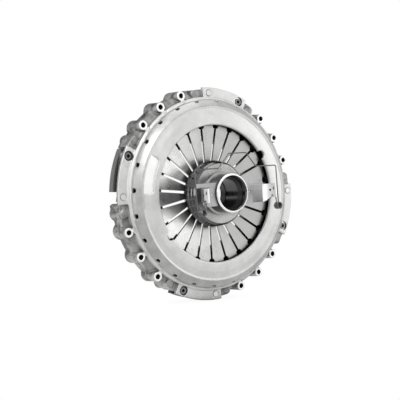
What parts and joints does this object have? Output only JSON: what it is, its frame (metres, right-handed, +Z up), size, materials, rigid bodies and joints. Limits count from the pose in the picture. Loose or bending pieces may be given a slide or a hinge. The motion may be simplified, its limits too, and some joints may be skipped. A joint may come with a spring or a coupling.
{
  "type": "clutch pressure plate",
  "caption": "Diaphragm spring clutch cover with a cast iron housing, strap driven pressure plate and a pull type release bearing with sleeve, fork wings and wire clip.",
  "frame": {"origin": "on the clutch axis, in the plane of the face that bolts to the flywheel", "axes": "+Y points along the clutch axis into the flywheel, the release bearing points to -Y, +Z is up and +X is to the right seen from the release bearing side"},
  "size_m": [0.471, 0.16, 0.471],
  "materials": {
    "cast_cover": "blasted and clear coated, satin",
    "cast_plate": "as cast, with a ground friction face",
    "spring_steel": "shot peened, satin",
    "strap_steel": "rolled, oiled",
    "spring_wire": "drawn, oiled",
    "rivet_steel": "upset, plain",
    "bearing_steel": "ground",
    "ball_steel": "polished",
    "cage_plastic": "moulded, glass filled",
    "seal_rubber": "moulded",
    "shell_steel": "phosphated, nearly black",
    "sleeve_steel": "phosphated, with a turned face and rim",
    "bush_plastic": "moulded",
    "wing_steel": "pressed, bright zinc plated",
    "wear_steel": "pressed and hardened",
    "clip_wire": "drawn spring wire, dark"
  },
  "bodies": {
    "cover": {"clutch_cover": "cast_cover", "fulcrum_wire_ring": "spring_wire", "cover_strap_rivets": "rivet_steel", "diaphragm_spring": "spring_steel", "strap_pack_top": "strap_steel", "strap_pack_right": "strap_steel", "strap_pack_bottom": "strap_steel", "strap_pack_left": "strap_steel"},
    "plate": {"pressure_plate": "cast_plate", "strap_washers": "rivet_steel", "plate_strap_rivets": "rivet_steel"},
    "rotor": {"bearing_inner_ring": "bearing_steel", "load_ring": "bearing_steel", "lock_wire": "spring_wire", "tip_disc_spring": "spring_steel", "snap_ring": "spring_wire"},
    "cage": {"bearing_balls": "ball_steel", "bearing_cage": "cage_plastic"},
    "housing": {"bearing_outer_ring": "bearing_steel", "rear_bearing_seal": "seal_rubber", "front_bearing_seal": "seal_rubber", "bearing_shell": "shell_steel", "release_sleeve": "sleeve_steel", "front_guide_bush": "bush_plastic", "rear_guide_bush": "bush_plastic", "right_fork_wing": "wing_steel", "left_fork_wing": "wing_steel", "right_wear_plate": "wear_steel", "left_wear_plate": "wear_steel", "wear_plate_rivets": "rivet_steel", "fork_clip_wire": "clip_wire"}
  },
  "joints": [
    {"name": "plate_lift", "type": "slide", "parent": "cover", "child": "plate", "axis": [0, -1, 0], "range_m": [0, 0.002], "deforming": ["strap_pack_top", "strap_pack_right", "strap_pack_bottom", "strap_pack_left"]},
    {"name": "release_travel", "type": "slide", "parent": "cover", "child": "rotor", "axis": [0, -1, 0], "range_m": [0, 0.012], "stiffness_N_per_m": 50000, "springref_m": -0.02, "deforming": ["diaphragm_spring"]},
    {"name": "housing_spin", "type": "hinge", "parent": "rotor", "child": "housing", "pos_m": [0, -0.0645, 0], "axis": [0, 1, 0], "continuous": true},
    {"name": "cage_spin", "type": "hinge", "parent": "rotor", "child": "cage", "pos_m": [0, -0.0645, 0], "axis": [0, 1, 0], "continuous": true}
  ],
  "couplings": [
    {"joint": "plate_lift", "follows": "release_travel", "ratio": 0.16},
    {"joint": "cage_spin", "follows": "housing_spin", "ratio": 0.556}
  ]
}
